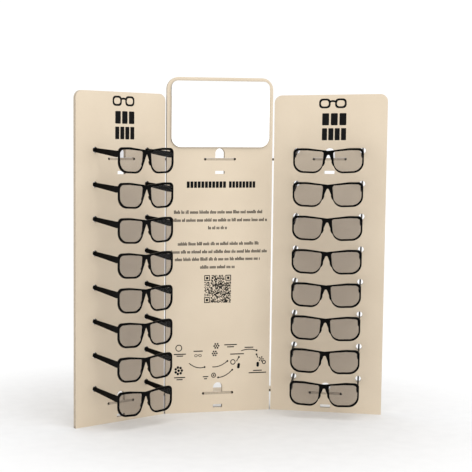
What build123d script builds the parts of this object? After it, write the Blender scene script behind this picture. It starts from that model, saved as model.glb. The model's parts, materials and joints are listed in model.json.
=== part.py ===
from build123d import *
from math import cos, radians, sin, sqrt, tan
import os

os.makedirs("parts", exist_ok=True)

# Free-standing display for spectacles: three upright boards in a shallow V that opens to the front,
# held together at the back by two flat connector boards whose tabs push into slots in the uprights.
# Eight pairs of spectacles hang on each side board by their temples, which pass through round holes.
# Millimetres, +Z up, -Y to the front, +X to the viewer's right.
# The origin is the middle of the centre board's bottom face.

# The boards
board = 7.0
panel_width = 234.4
side_height = 680.0
centre_height = 716.0
panel_gap = 3.6  # see-through gap between neighbouring boards, measured at their front faces
fold_angle = 25.4  # how far each side board is turned to the front
side_corner = 16.0
centre_corner = 25.0

# The cut-outs in every board: a slot for a connector's tab with an arch over it and a short slot below
slot_length = 71.0
slot_height = 5.4
slot_levels = (41.0, 544.5)  # heights of the two slots' middles
arch_width = 21.0
arch_rise = 20.5  # from the slot's top edge to the crown
short_slot_height = 6.5
short_slot_drop = 28.0  # from the tab slot's middle to the short slot's middle
short_slot_corner = 1.0

# The connector boards
connector_thickness = 5.0
tab_width = 61.5
connector_depth = 41.0
connector_overhang = 4.0  # how far the board goes past its outer tabs
connector_end_corner = 6.0

# The mirror and its tape
mirror_width = 217.0
mirror_height = 139.0
mirror_base = 569.5  # height of the mirror's bottom edge
mirror_thickness = 3.0
mirror_top_corner = 14.0
mirror_base_corner = 21.0
mirror_bevel = 0.5
tape_thickness = 1.0
tape_width = 20.0
tape_length = 90.0
tape_spacing = 130.0  # between the middles of the two strips

# Where the spectacles hang
rows = 8
top_row = 562.3
row_pitch = 69.5
hole_diameter = 12.0
temple_spacing = 136.8
droop = 7.0  # how far the temples slope down to the front; the fronts hang upright

# The spectacles, with depths counted to the front from the middle of the side board's thickness
front_width = 142.4
rim_thickness = 3.0
front_end = 83.0  # front surface at the two ends
front_radius = 1150.0  # gentle wrap of the whole front
hinge_at = 72.5  # back face of the end blocks, where the temples start
lens_thickness = 1.8
lens_groove = 0.8  # how deep the lens edge sits in the rim
end_block_width = 5.0
end_block_corner = 1.0
end_block_overlap = 0.8  # how far the blocks reach into the rim
temple_thickness = 3.4
temple_hinge_height = 12.8
temple_board_height = 8.4  # where it passes the board
temple_tail = 58.0  # how far it reaches behind the middle of the board
tip_flat = 0.3  # half of the flat left between the tip's two rounded corners
temple_edge_radius = 0.8
pin_radius = 0.5
pin_gap = 0.05  # around the pin in the temple's barrel
barrel_radius = 1.2
front_barrel = 2.5  # height of each of the front's two barrels
temple_barrel = 2.5
running_gap = 0.1  # between a temple and the end block, and around the hinge barrels
barrel_side = (temple_spacing - temple_thickness) / 2  # the barrels stand on the temples' inner faces
pad_side = 9.4
pad_height = -27.0
pad_width = 4.5
pad_length = 12.0
pad_depth = 4.5
pad_overlap = 1.0  # how far the nose pads start inside the rim
pad_lean = 20.0
pad_taper = 20.0

# Half of the rim's outline and of one lens opening, x outward from the middle, y up from the holes' middles
bridge_top = -1.3
rim_brow = (43.0, 4.2)
rim_top_end = (front_width / 2, 4.0)
rim_top_end_corner = 9.5
rim_bottom_end = (front_width / 2, -45.9)
rim_bottom_end_corner = 21.5
rim_bottom_nose = (17.2, -48.0)
rim_bottom_nose_corner = 20.0
nose_side = (2.0, -10.2)
nose_side_corner = 2.0
nose_top = -9.6
lens_top_nose = (9.4, -3.4)
lens_top_nose_corner = 4.5
lens_brow = (43.0, -0.3)
lens_top_end = (67.7, -0.6)
lens_top_end_corner = 9.0
lens_bottom_end = (67.7, -42.2)
lens_bottom_end_corner = 19.0
lens_bottom_nose = (13.0, -44.4)
lens_bottom_nose_corner = 19.0
brow_corner = 60.0  # smooths the slight bends over the eyes

hinge_height = -hinge_at * tan(radians(droop))
front_bow = front_radius - sqrt(front_radius**2 - (front_width / 2) ** 2)
front_middle = front_end + front_bow
half_board = board / 2
turn = radians(fold_angle)


def board_plane(side):
    """Middle plane of a board's thickness: x along the board, y up, z to the front."""
    if side == 0:
        return Plane(origin=(0, 0, 0), x_dir=(1, 0, 0), z_dir=(0, -1, 0))
    outward = Vector(side * cos(turn), -sin(turn), 0)
    back = Vector(side * sin(turn), cos(turn), 0)
    inner_edge = Vector(side * (panel_width / 2 + panel_gap), -half_board, 0)
    middle = inner_edge + outward * (panel_width / 2) + back * half_board
    return Plane(origin=middle, x_dir=outward * side, z_dir=back * -1)


def spectacles_plane(side, row):
    """Plane between the middles of a pair's two holes: x along the board, y up, z to the front."""
    upright = board_plane(side)
    middle = upright.from_local_coords((0, top_row - row * row_pitch, 0))
    return Plane(origin=middle, x_dir=upright.x_dir, z_dir=upright.z_dir)


def round_corner(sketch, corner, radius):
    """Rounds the sketch's corner nearest to a point, and the mirror image of that corner."""
    for x in (corner[0], -corner[0]):
        near = sketch.vertices().sort_by_distance((x, corner[1], 0))[0]
        fillet(near, radius=radius)


# ---------------------------------------------------------------- boards


def connector_cutouts():
    """Cuts the tab slot, its arch and the short slot at both levels into the board being sketched."""
    for level in slot_levels:
        arch_side = slot_height / 2 + arch_rise - arch_width / 2
        with Locations((0, level)):
            SlotOverall(slot_length, slot_height, mode=Mode.SUBTRACT)
            Rectangle(arch_width, arch_side, align=(Align.CENTER, Align.MIN), mode=Mode.SUBTRACT)
        with Locations((0, level + arch_side)):
            Circle(arch_width / 2, mode=Mode.SUBTRACT)
        with Locations((0, level - short_slot_drop)):
            RectangleRounded(arch_width, short_slot_height, short_slot_corner, mode=Mode.SUBTRACT)


def temple_holes():
    """Cuts two round holes for each row of spectacles into the board being sketched."""
    for row in range(rows):
        height = top_row - row * row_pitch
        with Locations((-temple_spacing / 2, height), (temple_spacing / 2, height)):
            Circle(hole_diameter / 2, mode=Mode.SUBTRACT)


with BuildPart() as centre_panel:
    with BuildSketch(board_plane(0)) as centre_outline:
        Rectangle(panel_width, centre_height, align=(Align.CENTER, Align.MIN))
        round_corner(centre_outline, (panel_width / 2, centre_height), centre_corner)
        connector_cutouts()
    extrude(amount=half_board, both=True)
centre_panel.part.label = "centre_panel"
export_step(centre_panel.part, "parts/centre_panel.step")

with BuildPart() as left_panel:
    with BuildSketch(board_plane(-1)) as left_outline:
        Rectangle(panel_width, side_height, align=(Align.CENTER, Align.MIN))
        round_corner(left_outline, (panel_width / 2, side_height), side_corner)
        connector_cutouts()
        temple_holes()
    extrude(amount=half_board, both=True)
left_panel.part.label = "left_panel"
export_step(left_panel.part, "parts/left_panel.step")

with BuildPart() as right_panel:
    with BuildSketch(board_plane(1)) as right_outline:
        Rectangle(panel_width, side_height, align=(Align.CENTER, Align.MIN))
        round_corner(right_outline, (panel_width / 2, side_height), side_corner)
        connector_cutouts()
        temple_holes()
    extrude(amount=half_board, both=True)
right_panel.part.label = "right_panel"
export_step(right_panel.part, "parts/right_panel.step")


# ---------------------------------------------------------------- connectors


def connector_outline():
    """Outline of the band along the backs of the boards, with a tab for each, and its right rear corner."""
    outward = Vector(cos(turn), -sin(turn))
    back = Vector(sin(turn), cos(turn))
    inner_edge = Vector(panel_width / 2 + panel_gap, -half_board)
    tab_middle = inner_edge + outward * (panel_width / 2) + back * board
    bend = inner_edge + back * board - outward * (board * tan(turn / 2))
    end = tab_middle + outward * (tab_width / 2 + connector_overhang)
    rear_end = end + back * connector_depth
    tab_inner = tab_middle - outward * (tab_width / 2)
    tab_outer = tab_middle + outward * (tab_width / 2)
    right_half = [
        Vector(tab_width / 2, -half_board),
        Vector(tab_width / 2, half_board),
        bend,
        tab_inner,
        tab_inner - back * board,
        tab_outer - back * board,
        tab_outer,
        end,
        rear_end,
        bend + Vector(connector_depth * tan(turn / 2), connector_depth),
    ]
    left_half = [Vector(-point.X, point.Y) for point in reversed(right_half)]
    return [(point.X, point.Y) for point in right_half + left_half], (rear_end.X, rear_end.Y)


def make_connector(level):
    """Flat connector board that rests on the lower edges of the slots at this level."""
    corners, rear_end = connector_outline()
    with BuildPart() as connector:
        with BuildSketch(Plane.XY.offset(level - slot_height / 2)) as band:
            with BuildLine():
                Polyline(*corners, close=True)
            make_face()
            round_corner(band, rear_end, connector_end_corner)
        extrude(amount=connector_thickness)
    return connector


lower_connector = make_connector(slot_levels[0])
lower_connector.part.label = "lower_connector"
export_step(lower_connector.part, "parts/lower_connector.step")

upper_connector = make_connector(slot_levels[1])
upper_connector.part.label = "upper_connector"
export_step(upper_connector.part, "parts/upper_connector.step")


# ---------------------------------------------------------------- mirror

with BuildPart() as mirror_plate:
    with BuildSketch(board_plane(0).offset(half_board + tape_thickness)) as mirror_outline:
        with Locations((0, mirror_base)):
            Rectangle(mirror_width, mirror_height, align=(Align.CENTER, Align.MIN))
        round_corner(mirror_outline, (mirror_width / 2, mirror_base + mirror_height), mirror_top_corner)
        round_corner(mirror_outline, (mirror_width / 2, mirror_base), mirror_base_corner)
    extrude(amount=mirror_thickness)
    chamfer(mirror_plate.faces().sort_by(Axis.Y)[0].edges(), length=mirror_bevel)
mirror_plate.part.label = "mirror_plate"
export_step(mirror_plate.part, "parts/mirror_plate.step")

with BuildPart() as mirror_tape:
    with BuildSketch(board_plane(0).offset(half_board)):
        with Locations((0, mirror_base + mirror_height / 2)):
            with GridLocations(tape_spacing, 0, 2, 1):
                Rectangle(tape_width, tape_length)
    extrude(amount=tape_thickness)
mirror_tape.part.label = "mirror_tape"
export_step(mirror_tape.part, "parts/mirror_tape.step")


# ---------------------------------------------------------------- spectacles


def front_slab(plane, depth, thickness):
    """Pair of arcs seen from above that follow the front's wrap, starting this deep behind its surface."""
    from_above = Plane(origin=plane.origin, x_dir=plane.x_dir, z_dir=plane.y_dir)
    with BuildSketch(from_above) as slab:
        with Locations((0, front_radius - front_middle)):
            Circle(front_radius - depth)
            Circle(front_radius - depth - thickness, mode=Mode.SUBTRACT)
    return slab.sketch


def lens_shapes(grow):
    """Both lenses seen from the front, larger all round by the given amount."""
    with BuildSketch() as lens:
        with BuildLine():
            Polyline(
                lens_top_nose, lens_brow, lens_top_end, lens_bottom_end, lens_bottom_nose, close=True
            )
        make_face()
        fillet(lens.vertices().sort_by_distance(lens_brow)[0], radius=brow_corner)
        fillet(lens.vertices().sort_by_distance(lens_top_nose)[0], radius=lens_top_nose_corner)
        fillet(lens.vertices().sort_by_distance(lens_top_end)[0], radius=lens_top_end_corner)
        fillet(lens.vertices().sort_by_distance(lens_bottom_end)[0], radius=lens_bottom_end_corner)
        fillet(lens.vertices().sort_by_distance(lens_bottom_nose)[0], radius=lens_bottom_nose_corner)
        if grow > 0:
            offset(amount=grow)
        mirror(about=Plane.YZ)
    return lens.sketch


def rim_shape():
    """Outline of the front seen from the front, without the lens openings."""
    with BuildSketch() as rim:
        with BuildLine():
            half = Polyline(
                (0, bridge_top),
                rim_brow,
                rim_top_end,
                rim_bottom_end,
                rim_bottom_nose,
                nose_side,
                (0, nose_top),
            )
            mirror(half, about=Plane.YZ)
        make_face()
        round_corner(rim, rim_brow, brow_corner)
        round_corner(rim, rim_top_end, rim_top_end_corner)
        round_corner(rim, rim_bottom_end, rim_bottom_end_corner)
        round_corner(rim, rim_bottom_nose, rim_bottom_nose_corner)
        round_corner(rim, nose_side, nose_side_corner)
    return rim.sketch


def make_lenses(plane):
    """The two lenses of one pair, with their edges inside the grooves of the rim."""
    with BuildPart() as lenses:
        with BuildSketch(plane.offset(hinge_at)):
            add(lens_shapes(lens_groove))
        extrude(amount=2 * (front_middle - hinge_at))
        middle_depth = (rim_thickness - lens_thickness) / 2
        curved_layer = front_slab(plane, middle_depth, lens_thickness)
        extrude(curved_layer, amount=front_width, both=True, mode=Mode.INTERSECT)
    return lenses


def hinge_plane(plane):
    """Plane across a pair's hinges: x along the board, y to the back, z up along the hinge pins."""
    middle = plane.from_local_coords((0, hinge_height, hinge_at - running_gap - barrel_radius))
    return Plane(origin=middle, x_dir=plane.x_dir, z_dir=plane.y_dir)


def make_front(plane, lenses):
    """Front of one pair: grooved rim, nose pads, end blocks, and the fixed halves of the hinges."""
    across = hinge_plane(plane)
    with BuildPart() as front:
        with BuildSketch(plane.offset(hinge_at)):
            add(rim_shape())
            add(lens_shapes(0), mode=Mode.SUBTRACT)
        extrude(amount=2 * (front_middle - hinge_at))
        curved_layer = front_slab(plane, 0, rim_thickness)
        extrude(curved_layer, amount=front_width, both=True, mode=Mode.INTERSECT)
        with BuildSketch(plane.offset(hinge_at)):
            with Locations((0, hinge_height)):
                with GridLocations(front_width - end_block_width, 0, 2, 1):
                    RectangleRounded(end_block_width, temple_hinge_height, end_block_corner)
        extrude(amount=front_end - rim_thickness + end_block_overlap - hinge_at)
        with BuildSketch(plane.offset(front_middle - rim_thickness + pad_overlap)):
            for side in (-1, 1):
                with Locations(Location((side * pad_side, pad_height, 0), (0, 0, side * pad_lean))):
                    Ellipse(pad_width / 2, pad_length / 2)
        extrude(amount=-pad_depth, taper=pad_taper)
        add(lenses.part, mode=Mode.SUBTRACT)
        for low in (-temple_barrel / 2 - running_gap - front_barrel, temple_barrel / 2 + running_gap):
            with BuildSketch(across.offset(low)):
                for side in (-1, 1):
                    with Locations((side * barrel_side, 0)):
                        Circle(barrel_radius)
                        Rectangle(
                            2 * barrel_radius, 2 * barrel_radius, align=(Align.CENTER, Align.MAX)
                        )
            extrude(amount=front_barrel)
        with BuildSketch(across):
            with GridLocations(2 * barrel_side, 0, 2, 1):
                Circle(pin_radius)
        extrude(amount=temple_barrel / 2 + running_gap + front_barrel / 2, both=True)
    return front


def make_temples(plane):
    """The two straight temples of one pair, tapering to the tip, with the moving halves of the hinges."""
    across = hinge_plane(plane)
    fall = tan(radians(droop))
    growth = (temple_hinge_height - temple_board_height) / 2 / hinge_at
    start = hinge_at - running_gap
    start_half = temple_board_height / 2 + growth * start
    tip_half = temple_board_height / 2 - growth * temple_tail
    barrel_room = barrel_radius + running_gap
    with BuildPart() as temples:
        for side in (-1, 1):
            profile_plane = Plane(
                origin=plane.from_local_coords((side * temple_spacing / 2, 0, 0)),
                x_dir=plane.z_dir,
                z_dir=plane.x_dir * -1,
            )
            with BuildSketch(profile_plane) as profile:
                with BuildLine():
                    Polyline(
                        (start, start_half - fall * start),
                        (-temple_tail, tip_half + fall * temple_tail),
                        (-temple_tail, -tip_half + fall * temple_tail),
                        (start, -start_half - fall * start),
                        close=True,
                    )
                make_face()
                fillet(profile.vertices().group_by(Axis.X)[0], radius=tip_half - tip_flat)
            extrude(amount=temple_thickness / 2, both=True)
        long_edges = temples.edges().filter_by(lambda edge: edge.length > hinge_at)
        fillet(long_edges, radius=temple_edge_radius)
        pocket_height = front_barrel + 2 * running_gap
        for low in (-temple_barrel / 2 - pocket_height, temple_barrel / 2):
            with BuildSketch(across.offset(low)):
                with GridLocations(2 * barrel_side, 0, 2, 1):
                    Circle(barrel_room)
                    Rectangle(2 * barrel_room, 2 * barrel_room, align=(Align.CENTER, Align.MAX))
            extrude(amount=pocket_height, mode=Mode.SUBTRACT)
        with BuildSketch(across):
            with GridLocations(2 * barrel_side, 0, 2, 1):
                Circle(barrel_radius)
        extrude(amount=temple_barrel / 2, both=True)
        with BuildSketch(across):
            with GridLocations(2 * barrel_side, 0, 2, 1):
                Circle(pin_radius + pin_gap)
        extrude(amount=temple_barrel / 2, both=True, mode=Mode.SUBTRACT)
    return temples


for side, side_name in ((-1, "left"), (1, "right")):
    for row in range(rows):
        pair = f"{side_name}_{row + 1}"
        place = spectacles_plane(side, row)

        lenses = make_lenses(place)
        lenses.part.label = f"{pair}_lenses"
        export_step(lenses.part, f"parts/{pair}_lenses.step")

        front = make_front(place, lenses)
        front.part.label = f"{pair}_front"
        export_step(front.part, f"parts/{pair}_front.step")

        temples = make_temples(place)
        temples.part.label = f"{pair}_temples"
        export_step(temples.part, f"parts/{pair}_temples.step")
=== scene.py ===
import json
import math
import random

import bmesh
import bpy
from mathutils import Matrix, Vector


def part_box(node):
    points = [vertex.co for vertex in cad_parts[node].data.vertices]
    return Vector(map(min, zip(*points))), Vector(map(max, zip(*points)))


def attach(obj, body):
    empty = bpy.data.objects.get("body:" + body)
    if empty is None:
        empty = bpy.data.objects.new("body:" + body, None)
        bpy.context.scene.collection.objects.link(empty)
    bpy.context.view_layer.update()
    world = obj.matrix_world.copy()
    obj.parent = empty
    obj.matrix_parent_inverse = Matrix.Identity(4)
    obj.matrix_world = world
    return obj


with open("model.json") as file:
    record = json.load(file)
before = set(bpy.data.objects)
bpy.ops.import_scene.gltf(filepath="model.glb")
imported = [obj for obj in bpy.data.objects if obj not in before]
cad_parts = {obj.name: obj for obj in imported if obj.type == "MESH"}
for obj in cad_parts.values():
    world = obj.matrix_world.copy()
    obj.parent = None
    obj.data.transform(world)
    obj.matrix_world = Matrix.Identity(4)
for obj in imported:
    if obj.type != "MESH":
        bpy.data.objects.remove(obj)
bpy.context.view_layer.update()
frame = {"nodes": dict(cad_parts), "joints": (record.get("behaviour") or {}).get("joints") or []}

MM = 0.001
UP = Vector((0, 0, 1))
WHITE = 1.05  # strength of the white surroundings
EDGE_ROUNDING = 0.5 * MM
CONNECTOR_EDGE_ROUNDING = 0.4 * MM
CONNECTOR_PAINTED_SHADE = 0.85  # painted shade: the connectors are a little darker than the uprights
NODES = frame["nodes"]

# ---------------------------------------------------------------- places taken from the frame


class Board:
    """Front face of an upright board: s runs along it from its middle, z is the height above the floor."""

    def __init__(self, node, body, normal):
        """Takes the board's place from its node's box; normal points to the front."""
        low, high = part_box(node)
        middle = (low + high) / 2
        self.body = body
        self.normal = normal
        self.along = UP.cross(normal)
        self.face = Vector((middle.x, middle.y, 0)) + normal * THICKNESS / 2

    def at(self, s, z, out=0.0):
        """Point on the board, s and z in metres, lifted off its face by out."""
        return self.face + self.along * s + UP * z + self.normal * out


def pull_direction(joint_name):
    """Direction in which a joint of the frame pulls."""
    joint = next(joint for joint in frame["joints"] if joint["name"] == joint_name)
    return Vector(joint["axis"]).normalized()


centre_low, centre_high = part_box("centre_panel")
THICKNESS = centre_high.y - centre_low.y
centre = Board("centre_panel", "stand", Vector((0, -1, 0)))
left = Board("left_panel", "left_board", pull_direction("left_board_pull"))
right = Board("right_panel", "right_board", pull_direction("right_board_pull"))

# ---------------------------------------------------------------- shader helpers


def new_material(name):
    """Empty node material with an output, and a function that adds nodes to it."""
    material = bpy.data.materials.new(name)
    material.use_nodes = True
    tree = material.node_tree
    tree.nodes.clear()

    def add(kind, **values):
        node = tree.nodes.new(kind)
        for key, value in values.items():
            if hasattr(node, key):
                setattr(node, key, value)
            else:
                node.inputs[key.replace("_", " ")].default_value = value
        return node

    def link(source, target):
        tree.links.new(source, target)

    output = add("ShaderNodeOutputMaterial")
    return material, add, link, output


def ramp(add, stops):
    """Colour ramp with the given (position, colour) stops."""
    node = add("ShaderNodeValToRGB")
    elements = node.color_ramp.elements
    while len(elements) > 1:
        elements.remove(elements[-1])
    elements[0].position, elements[0].color = stops[0]
    for position, color in stops[1:]:
        elements.new(position).color = color
    return node


def grey(value):
    """Neutral colour of the given brightness."""
    return (value, value, value, 1)


def noise(add, link, coordinates, scale, detail, stretch=None):
    """Noise texture in object space, stretched if asked."""
    texture = add("ShaderNodeTexNoise", Scale=scale, Detail=detail)
    if stretch:
        mapping = add("ShaderNodeMapping")
        mapping.inputs["Scale"].default_value = stretch
        link(coordinates, mapping.inputs["Vector"])
        link(mapping.outputs["Vector"], texture.inputs["Vector"])
    else:
        link(coordinates, texture.inputs["Vector"])
    return texture.outputs["Fac"]


def faces_along(add, link, normal):
    """1 where the surface faces along the normal or against it, 0 at the edges between those faces."""
    least_alignment = 0.6
    facing = add("ShaderNodeVectorMath", operation="DOT_PRODUCT")
    facing.inputs[1].default_value = normal
    link(add("ShaderNodeNewGeometry").outputs["True Normal"], facing.inputs[0])
    absolute = add("ShaderNodeMath", operation="ABSOLUTE")
    link(facing.outputs["Value"], absolute.inputs[0])
    is_face = add("ShaderNodeMath", operation="GREATER_THAN")
    is_face.inputs[1].default_value = least_alignment
    link(absolute.outputs["Value"], is_face.inputs[0])
    return is_face.outputs["Value"]


# ---------------------------------------------------------------- materials


def board_material(name, normal, tone=1.0):
    """Sand-coloured fibreboard: smooth mottled faces, darkened by tone as painted shade, and raw fibre at
    the edges, with painted shade that darkens them in hollows.
    """
    material, add, link, output = new_material(name)
    where = add("ShaderNodeTexCoord").outputs["Object"]
    mottle = ramp(add, [(0.3, (0.7, 0.59, 0.45, 1)), (0.7, (0.745, 0.635, 0.49, 1))])
    link(noise(add, link, where, 9, 5), mottle.inputs["Fac"])
    # a tone below 1 darkens the specks of the whole board as painted shade; the connectors use it
    specks = ramp(add, [(0.35, grey(0.94 * tone)), (0.6, grey(tone))])
    link(noise(add, link, where, 1400, 3), specks.inputs["Fac"])
    face = add("ShaderNodeMix", data_type="RGBA", blend_type="MULTIPLY")
    face.inputs["Factor"].default_value = 1
    link(mottle.outputs["Color"], face.inputs["A"])
    link(specks.outputs["Color"], face.inputs["B"])

    fibres = ramp(add, [(0.3, (0.36, 0.3, 0.225, 1)), (0.7, (0.56, 0.47, 0.36, 1))])
    link(noise(add, link, where, 900, 6, (1, 1, 0.25)), fibres.inputs["Fac"])

    # painted shade: the edge colour is darkened where the edges lie in narrow hollows, such as slot ends and
    # the gaps between boards
    openness = add("ShaderNodeAmbientOcclusion", Distance=12 * MM)
    openness.samples = 8
    painted_hollow_shade = ramp(add, [(0.3, grey(0.3)), (0.85, grey(1))])
    link(openness.outputs["AO"], painted_hollow_shade.inputs["Fac"])
    edge = add("ShaderNodeMix", data_type="RGBA", blend_type="MULTIPLY")
    edge.inputs["Factor"].default_value = 1
    link(fibres.outputs["Color"], edge.inputs["A"])
    link(painted_hollow_shade.outputs["Color"], edge.inputs["B"])
    color = add("ShaderNodeMix", data_type="RGBA")
    link(faces_along(add, link, normal), color.inputs["Factor"])
    link(edge.outputs["Result"], color.inputs["A"])
    link(face.outputs["Result"], color.inputs["B"])

    bump = add("ShaderNodeBump", Strength=0.12, Distance=0.2 * MM)
    link(noise(add, link, where, 700, 6), bump.inputs["Height"])
    rough = add("ShaderNodeMapRange")
    rough.inputs["To Min"].default_value = 0.5
    rough.inputs["To Max"].default_value = 0.68
    link(noise(add, link, where, 45, 3), rough.inputs["Value"])
    shader = add("ShaderNodeBsdfPrincipled")
    shader.inputs["Specular IOR Level"].default_value = 0.3
    link(color.outputs["Result"], shader.inputs["Base Color"])
    link(rough.outputs["Result"], shader.inputs["Roughness"])
    link(bump.outputs["Normal"], shader.inputs["Normal"])
    link(shader.outputs["BSDF"], output.inputs["Surface"])
    return material


def frame_material():
    """Polished black plastic with faint wipe marks."""
    material, add, link, output = new_material("black_plastic")
    where = add("ShaderNodeTexCoord").outputs["Object"]
    tint = ramp(add, [(0.3, grey(0.001)), (0.7, grey(0.003))])
    link(noise(add, link, where, 60, 3), tint.inputs["Fac"])
    wipe = add("ShaderNodeMapRange")
    wipe.inputs["To Min"].default_value = 0.26
    wipe.inputs["To Max"].default_value = 0.36
    link(noise(add, link, where, 220, 6, (1, 1, 0.3)), wipe.inputs["Value"])
    bump = add("ShaderNodeBump", Strength=0.02, Distance=0.1 * MM)
    link(noise(add, link, where, 350, 2), bump.inputs["Height"])
    shader = add("ShaderNodeBsdfPrincipled")
    shader.inputs["Specular IOR Level"].default_value = 0.04
    link(tint.outputs["Color"], shader.inputs["Base Color"])
    link(wipe.outputs["Result"], shader.inputs["Roughness"])
    link(bump.outputs["Normal"], shader.inputs["Normal"])
    link(shader.outputs["BSDF"], output.inputs["Surface"])
    return material


def lens_material():
    """Clear lens with a faint grey tint, lightened towards the top rows by painted light, a soft reflection
    and a few smudges.
    """
    lighter_from = 400 * MM
    lightest_from = 560 * MM
    coating = 0.4  # share of the reflection that the lens coating lets through
    material, add, link, output = new_material("clear_lens")
    where = add("ShaderNodeTexCoord").outputs["Object"]
    clear = add("ShaderNodeBsdfTransparent")
    height = add("ShaderNodeSeparateXYZ")
    link(where, height.inputs["Vector"])
    # painted light: the lens tint lightens with height, lightest in the top rows
    painted_top_light = add("ShaderNodeMapRange")
    painted_top_light.inputs["From Min"].default_value = lighter_from
    painted_top_light.inputs["From Max"].default_value = lightest_from
    link(height.outputs["Z"], painted_top_light.inputs["Value"])
    tint = ramp(add, [(0.0, (0.785, 0.78, 0.79, 1)), (1.0, (0.865, 0.86, 0.865, 1))])
    link(painted_top_light.outputs["Result"], tint.inputs["Fac"])
    link(tint.outputs["Color"], clear.inputs["Color"])
    smudge = ramp(add, [(0.45, grey(0.02)), (0.75, grey(0.1))])
    link(noise(add, link, where, 90, 5), smudge.inputs["Fac"])
    gloss = add("ShaderNodeBsdfGlossy")
    gloss.inputs["Color"].default_value = grey(0.9)
    link(smudge.outputs["Color"], gloss.inputs["Roughness"])
    outside = add("ShaderNodeMath", operation="SUBTRACT")
    outside.inputs[0].default_value = 1
    link(add("ShaderNodeNewGeometry").outputs["Backfacing"], outside.inputs[1])
    reflection = add("ShaderNodeMath", operation="MULTIPLY")
    link(add("ShaderNodeFresnel", IOR=1.5).outputs["Fac"], reflection.inputs[0])
    link(outside.outputs["Value"], reflection.inputs[1])
    coated = add("ShaderNodeMath", operation="MULTIPLY")
    coated.inputs[1].default_value = coating
    link(reflection.outputs["Value"], coated.inputs[0])
    mix = add("ShaderNodeMixShader")
    link(coated.outputs["Value"], mix.inputs["Fac"])
    link(clear.outputs["BSDF"], mix.inputs[1])
    link(gloss.outputs["BSDF"], mix.inputs[2])
    link(mix.outputs["Shader"], output.inputs["Surface"])
    return material


def mirror_material(normal):
    """Silvered acrylic: almost perfect reflection with very slight waviness, and a dark grey sawn edge, its
    darkness partly the edge's own grey and partly painted shade.
    """
    material, add, link, output = new_material("silvered_mirror")
    where = add("ShaderNodeTexCoord").outputs["Object"]
    haze = ramp(add, [(0.4, grey(0.01)), (0.8, grey(0.035))])
    link(noise(add, link, where, 25, 4), haze.inputs["Fac"])
    waves = add("ShaderNodeBump", Strength=0.02, Distance=0.5 * MM)
    link(noise(add, link, where, 6, 1), waves.inputs["Height"])
    silver = add("ShaderNodeBsdfPrincipled", Metallic=1.0)
    silver.inputs["Base Color"].default_value = (0.97, 0.975, 0.98, 1)
    link(haze.outputs["Color"], silver.inputs["Roughness"])
    link(waves.outputs["Normal"], silver.inputs["Normal"])

    # the sawn edge is dark grey, partly its own colour and partly painted shade for the dark line under and
    # beside the mirror
    edge_grey_and_painted_shade = ramp(add, [(0.3, (0.16, 0.18, 0.17, 1)), (0.7, (0.28, 0.3, 0.29, 1))])
    link(noise(add, link, where, 500, 4, (1, 1, 4)), edge_grey_and_painted_shade.inputs["Fac"])
    marks = add("ShaderNodeBump", Strength=0.2, Distance=0.1 * MM)
    link(noise(add, link, where, 800, 3), marks.inputs["Height"])
    sawn = add("ShaderNodeBsdfPrincipled", Roughness=0.45)
    link(edge_grey_and_painted_shade.outputs["Color"], sawn.inputs["Base Color"])
    link(marks.outputs["Normal"], sawn.inputs["Normal"])

    mix = add("ShaderNodeMixShader")
    link(faces_along(add, link, normal), mix.inputs["Fac"])
    link(sawn.outputs["BSDF"], mix.inputs[1])
    link(silver.outputs["BSDF"], mix.inputs[2])
    link(mix.outputs["Shader"], output.inputs["Surface"])
    return material


def tape_material():
    """White foam tape with small open cells."""
    material, add, link, output = new_material("foam_tape")
    where = add("ShaderNodeTexCoord").outputs["Object"]
    cells = add("ShaderNodeTexVoronoi", Scale=1800)
    link(where, cells.inputs["Vector"])
    tone = ramp(add, [(0.0, grey(0.55)), (0.5, grey(0.8))])
    link(cells.outputs["Distance"], tone.inputs["Fac"])
    bump = add("ShaderNodeBump", Strength=0.4, Distance=0.2 * MM)
    link(cells.outputs["Distance"], bump.inputs["Height"])
    shader = add("ShaderNodeBsdfPrincipled", Roughness=0.9)
    link(tone.outputs["Color"], shader.inputs["Base Color"])
    link(bump.outputs["Normal"], shader.inputs["Normal"])
    link(shader.outputs["BSDF"], output.inputs["Surface"])
    return material


def ink_material():
    """Matt black print, a little uneven where it soaks into the board."""
    material, add, link, output = new_material("black_ink")
    where = add("ShaderNodeTexCoord").outputs["Object"]
    soak = ramp(add, [(0.35, grey(0.004)), (0.75, grey(0.014))])
    link(noise(add, link, where, 900, 4), soak.inputs["Fac"])
    bump = add("ShaderNodeBump", Strength=0.15, Distance=0.05 * MM)
    link(noise(add, link, where, 1500, 2), bump.inputs["Height"])
    shader = add("ShaderNodeBsdfPrincipled", Roughness=0.6)
    shader.inputs["Specular IOR Level"].default_value = 0.05
    link(soak.outputs["Color"], shader.inputs["Base Color"])
    link(bump.outputs["Normal"], shader.inputs["Normal"])
    link(shader.outputs["BSDF"], output.inputs["Surface"])
    return material


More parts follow.
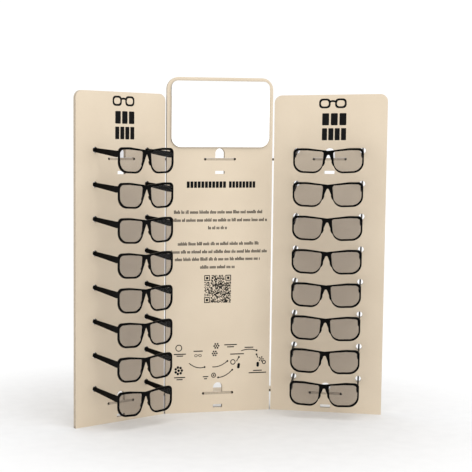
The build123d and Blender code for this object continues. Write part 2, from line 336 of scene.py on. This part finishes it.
def floor_material():
    """Near-white floor paper with a very faint grain, kept grey near the boards as painted shade, that fades
    into the white backdrop further out.
    """
    fade_from = 350 * MM
    fade_to = 850 * MM
    material, add, link, output = new_material("floor_paper")
    where = add("ShaderNodeTexCoord").outputs["Object"]
    # painted shade: the paper is grey near the boards and gives way to the glowing white backdrop further
    # out
    tone = ramp(add, [(0.3, grey(0.76)), (0.7, grey(0.79))])
    link(noise(add, link, where, 30, 3), tone.inputs["Fac"])
    paper = add("ShaderNodeBsdfPrincipled", Roughness=0.8)
    paper.inputs["Specular IOR Level"].default_value = 0.1
    link(tone.outputs["Color"], paper.inputs["Base Color"])
    backdrop = add("ShaderNodeEmission")
    backdrop.inputs["Color"].default_value = grey(1)
    backdrop.inputs["Strength"].default_value = WHITE
    distance = add("ShaderNodeVectorMath", operation="LENGTH")
    link(where, distance.inputs[0])
    shade_to_backdrop_fade = add("ShaderNodeMapRange", interpolation_type="SMOOTHSTEP")
    shade_to_backdrop_fade.inputs["From Min"].default_value = fade_from
    shade_to_backdrop_fade.inputs["From Max"].default_value = fade_to
    link(distance.outputs["Value"], shade_to_backdrop_fade.inputs["Value"])
    mix = add("ShaderNodeMixShader")
    link(shade_to_backdrop_fade.outputs["Result"], mix.inputs["Fac"])
    link(paper.outputs["BSDF"], mix.inputs[1])
    link(backdrop.outputs["Emission"], mix.inputs[2])
    link(mix.outputs["Shader"], output.inputs["Surface"])
    return material


def dress(node, material):
    """Gives a CAD node one material."""
    slots = NODES[node].data.materials
    slots.clear()
    slots.append(material)


def soften(node, width):
    """Rounds the sharp edges of a CAD node without touching its mesh."""
    bevel = NODES[node].modifiers.new("soft_edges", "BEVEL")
    bevel.width = width
    bevel.segments = 2
    bevel.limit_method = "ANGLE"
    bevel.angle_limit = math.radians(40)
    bevel.harden_normals = False


boards = {"centre_panel": centre, "left_panel": left, "right_panel": right}
for node, board in boards.items():
    dress(node, board_material(f"{node}_fibreboard", board.normal))
    soften(node, EDGE_ROUNDING)
# the connectors get a darker tone as painted shade for their place under and behind the boards
flat_board_in_painted_shade = board_material("connector_fibreboard_painted_shade", UP, CONNECTOR_PAINTED_SHADE)
for node in ("lower_connector", "upper_connector"):
    dress(node, flat_board_in_painted_shade)
    soften(node, CONNECTOR_EDGE_ROUNDING)
dress("mirror_tape", tape_material())
dress("mirror_plate", mirror_material(centre.normal))

black = frame_material()
clear = lens_material()
for node in NODES:
    if node.endswith("_front") or node.endswith("_temples"):
        dress(node, black)
    if node.endswith("_lenses"):
        dress(node, clear)

# ---------------------------------------------------------------- print on the boards

INK_HEIGHT = 0.06 * MM
INK_OVERLAP_HEIGHT = 0.08 * MM  # for a patch that lies across another one
ARC_STEPS = 12
CORNER_STEPS = 3
ink = ink_material()


def rounded_bar(s, z, width, height, radius, turn=0.0):
    """Outline of a bar with rounded corners around (s, z), turned by an angle in degrees."""
    points = []
    corners = ((1, 1, 0), (-1, 1, 90), (-1, -1, 180), (1, -1, 270))
    for side, level, start in corners:
        for step in range(CORNER_STEPS + 1):
            angle = math.radians(start + 90 / CORNER_STEPS * step)
            x = side * (width / 2 - radius) + radius * math.cos(angle)
            y = level * (height / 2 - radius) + radius * math.sin(angle)
            points.append((x, y))
    lean = math.radians(turn)
    cosine, sine = math.cos(lean), math.sin(lean)
    return [(s + x * cosine - y * sine, z + x * sine + y * cosine) for x, y in points]


def disc(s, z, radius):
    """Outline of a round dot."""
    steps = 2 * ARC_STEPS
    angles = [2 * math.pi * step / steps for step in range(steps)]
    return [(s + radius * math.cos(angle), z + radius * math.sin(angle)) for angle in angles]


def curved_stroke(start, end, sag, width):
    """Outline of a stroke that bends from one point to another; sag is how far its middle hangs down."""
    middle_line = []
    for step in range(ARC_STEPS + 1):
        share = step / ARC_STEPS
        s = start[0] + (end[0] - start[0]) * share
        z = start[1] + (end[1] - start[1]) * share - sag * 4 * share * (1 - share)
        middle_line.append(Vector((s, z)))
    edges = ([], [])
    for index, point in enumerate(middle_line):
        before = middle_line[max(index - 1, 0)]
        after = middle_line[min(index + 1, ARC_STEPS)]
        across = (after - before).normalized().orthogonal() * width / 2
        edges[0].append(tuple(point + across))
        edges[1].append(tuple(point - across))
    return edges[0] + edges[1][::-1]


class Print:
    """Collects outlines in millimetres on a board and turns them into one thin closed mesh."""

    def __init__(self, name, board):
        """Starts an empty print for one board."""
        self.name = name
        self.board = board
        self.mesh = bmesh.new()

    def vertices(self, outline, out):
        """Mesh points of an outline, lifted off the board by out."""
        return [self.mesh.verts.new(self.board.at(s * MM, z * MM, out)) for s, z in outline]

    def slab(self, outline, height=INK_HEIGHT):
        """Solid patch of ink; one that lies across another is a little higher."""
        low = self.vertices(outline, 0.0)
        high = self.vertices(outline, height)
        self.mesh.faces.new(high)
        self.mesh.faces.new(low[::-1])
        for i in range(len(outline)):
            j = (i + 1) % len(outline)
            self.mesh.faces.new((low[i], low[j], high[j], high[i]))

    def ring(self, outer, inner):
        """Patch of ink with a hole; both outlines have the same number of points."""
        loops = [self.vertices(line, out) for out in (0.0, INK_HEIGHT) for line in (outer, inner)]
        outer_low, inner_low, outer_high, inner_high = loops
        for i in range(len(outer)):
            j = (i + 1) % len(outer)
            self.mesh.faces.new((outer_high[i], outer_high[j], inner_high[j], inner_high[i]))
            self.mesh.faces.new((inner_low[i], inner_low[j], outer_low[j], outer_low[i]))
            self.mesh.faces.new((outer_low[i], outer_low[j], outer_high[j], outer_high[i]))
            self.mesh.faces.new((inner_high[i], inner_high[j], inner_low[j], inner_low[i]))

    def finish(self):
        """Makes the object and lets it ride on the board's body."""
        bmesh.ops.recalc_face_normals(self.mesh, faces=self.mesh.faces)
        data = bpy.data.meshes.new(self.name)
        self.mesh.to_mesh(data)
        self.mesh.free()
        piece = bpy.data.objects.new(self.name, data)
        bpy.context.scene.collection.objects.link(piece)
        data.materials.append(ink)
        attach(piece, self.board.body)


def glasses_sign(ink_print, s, z, width):
    """Pictogram of a pair of glasses seen from the front."""
    lens_width = width * 0.42
    lens_height = width * 0.36
    line = width * 0.07
    for side in (-1, 1):
        middle = s + side * (width - lens_width) / 2
        outer = rounded_bar(middle, z, lens_width, lens_height, lens_height * 0.35)
        inner = rounded_bar(middle, z, lens_width - 2 * line, lens_height - 2 * line, lens_height * 0.25)
        ink_print.ring(outer, inner)
    bridge = width - 2 * lens_width
    reach = bridge / 2 + line / 2
    level = z + lens_height * 0.15
    arch = curved_stroke((s - reach, level), (s + reach, level), -bridge * 0.2, line)
    ink_print.slab(arch, INK_OVERLAP_HEIGHT)


def block_row(ink_print, start, end, z, height, count):
    """Row of equal upright blocks between two places along the board."""
    gap_share = 0.2
    block_share = 1 - gap_share
    pitch = (end - start) / (count - gap_share)
    for index in range(count):
        middle = start + pitch * (index + block_share / 2)
        ink_print.slab(rounded_bar(middle, z, pitch * block_share, height, pitch * 0.1))


def print_side_sign(name, board):
    """Glasses pictogram with two rows of plain blocks under it, above the highest pair."""
    sign = Print(name, board)
    block = 25.5
    row_gap = 6
    low_row = 597
    high_row = low_row + block + row_gap
    glasses_level = low_row + 2.5 * block + 1
    glasses_left = -24
    row_left = -17
    right_end = 33
    glasses_sign(sign, (glasses_left + right_end) / 2, glasses_level, right_end - glasses_left)
    block_row(sign, row_left, right_end, high_row, block, 3)
    block_row(sign, row_left, right_end, low_row, block, 4)
    sign.finish()


def print_heading(name, board, z, height, groups):
    """Bold heading made of groups of plain blocks; a group is (start, end, number of blocks)."""
    heading = Print(name, board)
    for start, end, count in groups:
        block_row(heading, start, end, z, height, count)
    heading.finish()


def print_lines(name, board, lines, rng):
    """Lines of plain upright strokes in word-like groups; a line is (height above the floor, start, end)."""
    text = Print(name, board)
    stroke = 1.65
    pitch = 2.35
    low_stroke = 5.2
    high_stroke = 7.4
    group_sizes = (3, 9)
    for z, start, end in lines:
        place = start
        left_in_group = rng.randint(*group_sizes)
        while place < end - stroke:
            if left_in_group == 0:
                left_in_group = rng.randint(*group_sizes)
            else:
                height = rng.choice((low_stroke, low_stroke, low_stroke, high_stroke))
                middle = z + (height - low_stroke) / 2
                text.slab(rounded_bar(place + stroke / 2, middle, stroke, height, 0.25))
                left_in_group -= 1
            place += pitch
    text.finish()


def print_pattern(name, board, s, z, size, cells, rng):
    """Square field of random cells with three corner marks. It encodes nothing."""
    pattern = Print(name, board)
    cell = size / cells
    patch = cell * 0.96
    blank_share = 0.4
    corner = 7
    corner_hole = corner - 2
    corner_core = 3

    def in_corner(column, row):
        low_left = column <= corner and row <= corner
        high_left = column <= corner and row >= cells - 1 - corner
        high_right = column >= cells - 1 - corner and row >= cells - 1 - corner
        return low_left or high_left or high_right

    for column in range(cells):
        for row in range(cells):
            if in_corner(column, row) or rng.random() < blank_share:
                continue
            cell_s = s - size / 2 + (column + 0.5) * cell
            cell_z = z - size / 2 + (row + 0.5) * cell
            pattern.slab(rounded_bar(cell_s, cell_z, patch, patch, cell * 0.1))
    for column, row in ((0, 0), (0, 1), (1, 1)):
        shift = (size - corner * cell) / 2
        mark_s = s + (2 * column - 1) * shift
        mark_z = z + (2 * row - 1) * shift
        outer = rounded_bar(mark_s, mark_z, corner * cell, corner * cell, cell * 0.5)
        inner = rounded_bar(mark_s, mark_z, corner_hole * cell, corner_hole * cell, cell * 0.3)
        pattern.ring(outer, inner)
        pattern.slab(rounded_bar(mark_s, mark_z, corner_core * cell, corner_core * cell, cell * 0.3))
    pattern.finish()


def print_cycle(name, board, rng):
    """Row of small generic signs with captions of plain bars, joined by bent arrows."""
    cycle = Print(name, board)
    line = 1.9
    caption_line = 2.2

    def caption(start, end, *heights):
        """Caption lines at the given heights, each shorter than the one above."""
        for index, z in enumerate(heights):
            width = (end - start) * (1 - 0.45 * index)
            cycle.slab(rounded_bar((start + end) / 2, z, width, caption_line, 0.5))

    def dot(s, z):
        """Dot that marks the end of an arrow."""
        cycle.slab(disc(s, z, line * 1.1), INK_OVERLAP_HEIGHT)

    def arrow(start, end, sag):
        """Bent line with a dot where it ends."""
        cycle.slab(curved_stroke(start, end, sag, line))
        dot(end[0], end[1])

    def leaf_cluster(s, z, radius, count):
        """Ring of round leaves around a middle one."""
        for index in range(count):
            angle = 2 * math.pi * index / count + rng.uniform(-0.04, 0.04)
            cycle.slab(disc(s + radius * math.cos(angle), z + radius * math.sin(angle), radius * 0.39))
        cycle.slab(disc(s, z, radius * 0.4))

    def ring_sign(s, z, radius):
        """Plain circle."""
        cycle.ring(disc(s, z, radius), disc(s, z, radius - line))

    # left: a circle and a leaf cluster, each over its caption
    ring_sign(-88, 141.3, 7.5)
    caption(-98.8, -72, 128, 124)
    leaf_cluster(-88, 92.5, 7.2, 7)
    caption(-98, -73.3, 77.5, 73)
    # middle: glasses under a caption, two leaf clusters, and the captions to their right
    caption(-55, -34.5, 133.5)
    glasses_sign(cycle, -45, 123.8, 16)
    leaf_cluster(-3.8, 143.8, 5, 6)
    leaf_cluster(-7.5, 127.5, 4.8, 6)
    caption(13.8, 42.5, 145.5, 140.8)
    caption(27.5, 58.8, 124.8)
    caption(60, 80, 138.5)
    # bottom: a caption beside a circle with a spot in it
    caption(-33.8, -21.3, 77.5, 73)
    ring_sign(-9.5, 80, 5.5)
    cycle.slab(disc(-9.5, 80, 2))
    # arrows that join the signs, the last one with a dot at both ends
    arrow((-65, 108), (-30, 98.5), 5)
    arrow((-12.5, 98.3), (21.3, 110), 4)
    arrow((52.5, 131.3), (87.5, 131.3), -3)
    arrow((90.5, 115), (87.5, 122.5), 0)
    arrow((42, 108.8), (47.5, 118), 0)
    arrow((0.8, 74.8), (32.5, 90.5), 4)
    dot(0.8, 74.8)
    # right: circles, plain bars and a leaf cluster over a caption
    ring_sign(33.8, 107.5, 6)
    cycle.slab(rounded_bar(46.8, 98.8, 6, 12, 2.8, -8))
    leaf_cluster(98, 112, 4.4, 5)
    cycle.slab(rounded_bar(90.5, 100.5, 6, 11, 2.8))
    ring_sign(104.5, 105, 4.5)
    caption(80, 100, 87.3)
    caption(70, 110, 82.5)
    cycle.finish()


HEADING_GROUPS = ((-73, 13.8, 11), (20.5, 79.5, 8))
UPPER_TEXT = ((431.5, -100.8, 96.3), (414.5, -104, 108), (398, -25, 18.8))
LOWER_TEXT = ((364, -91.8, 90), (347, -106, 107.5), (331, -98, 93.3), (314, -41.8, 36.3))

rng = random.Random(11)
print_side_sign("left_sign", left)
print_side_sign("right_sign", right)
print_heading("heading_bars", centre, z=490.6, height=13.7, groups=HEADING_GROUPS)
print_lines("upper_text_bars", centre, UPPER_TEXT, rng)
print_lines("lower_text_bars", centre, LOWER_TEXT, rng)
print_pattern("square_pattern", centre, s=-2.5, z=267.3, size=60, cells=33, rng=rng)
print_cycle("picture_row", centre, rng)

# ---------------------------------------------------------------- stage, light and camera

FLOOR_HALF = 30  # metres
SENSOR = 36  # millimetres
FAR_CLIP = 100  # metres
SHIFT_REACH = 40 * MM  # how far from its own place the camera still has some shift


def make_floor():
    """Large plain floor under the boards."""
    data = bpy.data.meshes.new("floor")
    outline = ((-1, -1), (1, -1), (1, 1), (-1, 1))
    corners = [(FLOOR_HALF * x, FLOOR_HALF * y, 0) for x, y in outline]
    data.from_pydata(corners, [], [(0, 1, 2, 3)])
    floor = bpy.data.objects.new("floor", data)
    bpy.context.scene.collection.objects.link(floor)
    data.materials.append(floor_material())


def make_world(strength):
    """White surroundings that light everything evenly."""
    world = bpy.data.worlds.new("studio")
    bpy.context.scene.world = world
    world.use_nodes = True
    background = world.node_tree.nodes["Background"]
    background.inputs["Color"].default_value = grey(1)
    background.inputs["Strength"].default_value = strength


def make_light(name, place, target, size, power):
    """Soft square light aimed at a point."""
    data = bpy.data.lights.new(name, "AREA")
    data.size = size
    data.energy = power
    light = bpy.data.objects.new(name, data)
    light.location = place
    light.rotation_mode = "QUATERNION"
    light.rotation_quaternion = (Vector(target) - Vector(place)).to_track_quat("-Z", "Y")
    bpy.context.scene.collection.objects.link(light)


def shift_near(camera, channel, place, amount):
    """Shifts the camera's picture only while it stands near its own x, place, and not in other views."""
    driver_curve = camera.data.driver_add(channel)
    driver_curve.driver.type = "SUM"
    variable = driver_curve.driver.variables.new()
    variable.type = "TRANSFORMS"
    variable.targets[0].id = camera
    variable.targets[0].transform_type = "LOC_X"
    variable.targets[0].transform_space = "WORLD_SPACE"
    for modifier in list(driver_curve.modifiers):
        driver_curve.modifiers.remove(modifier)
    for distance, value in ((-SHIFT_REACH, 0), (0, amount), (SHIFT_REACH, 0)):
        key = driver_curve.keyframe_points.insert(place + distance, value)
        key.interpolation = "LINEAR"


def make_camera(place, yaw, pitch, lens, shift_x, shift_y):
    """Camera at a place; yaw turns it right and pitch up, in degrees. Its picture is off its axis."""
    data = bpy.data.cameras.new("camera")
    data.lens = lens
    data.sensor_width = SENSOR
    data.clip_end = FAR_CLIP
    camera = bpy.data.objects.new("camera", data)
    turn = Matrix.Rotation(-math.radians(yaw), 4, "Z")
    tip = Matrix.Rotation(math.pi / 2 + math.radians(pitch), 4, "X")
    camera.matrix_world = Matrix.Translation(place) @ turn @ tip
    bpy.context.scene.collection.objects.link(camera)
    bpy.context.scene.camera = camera
    shift_near(camera, "shift_x", place.x, shift_x)
    shift_near(camera, "shift_y", place.x, shift_y)


make_floor()
make_world(WHITE)
make_light("top_light", place=(0.4, -1.6, 3.0), target=(0, 0, 0.3), size=2.5, power=28)
make_light("low_fill", place=(0.3, -1.7, 0.3), target=(0, 0, 0.1), size=1.0, power=1.5)
# The photograph's viewpoint, from a camera fitted to the corners, slots and holes of the boards.
make_camera(
    place=Vector((-0.77285, -2.36008, 0.52679)),
    yaw=11.48,
    pitch=-5.097,
    lens=87.97,
    shift_x=0.3212,
    shift_y=0.0729,
)
bpy.context.scene.view_settings.view_transform = "Standard"
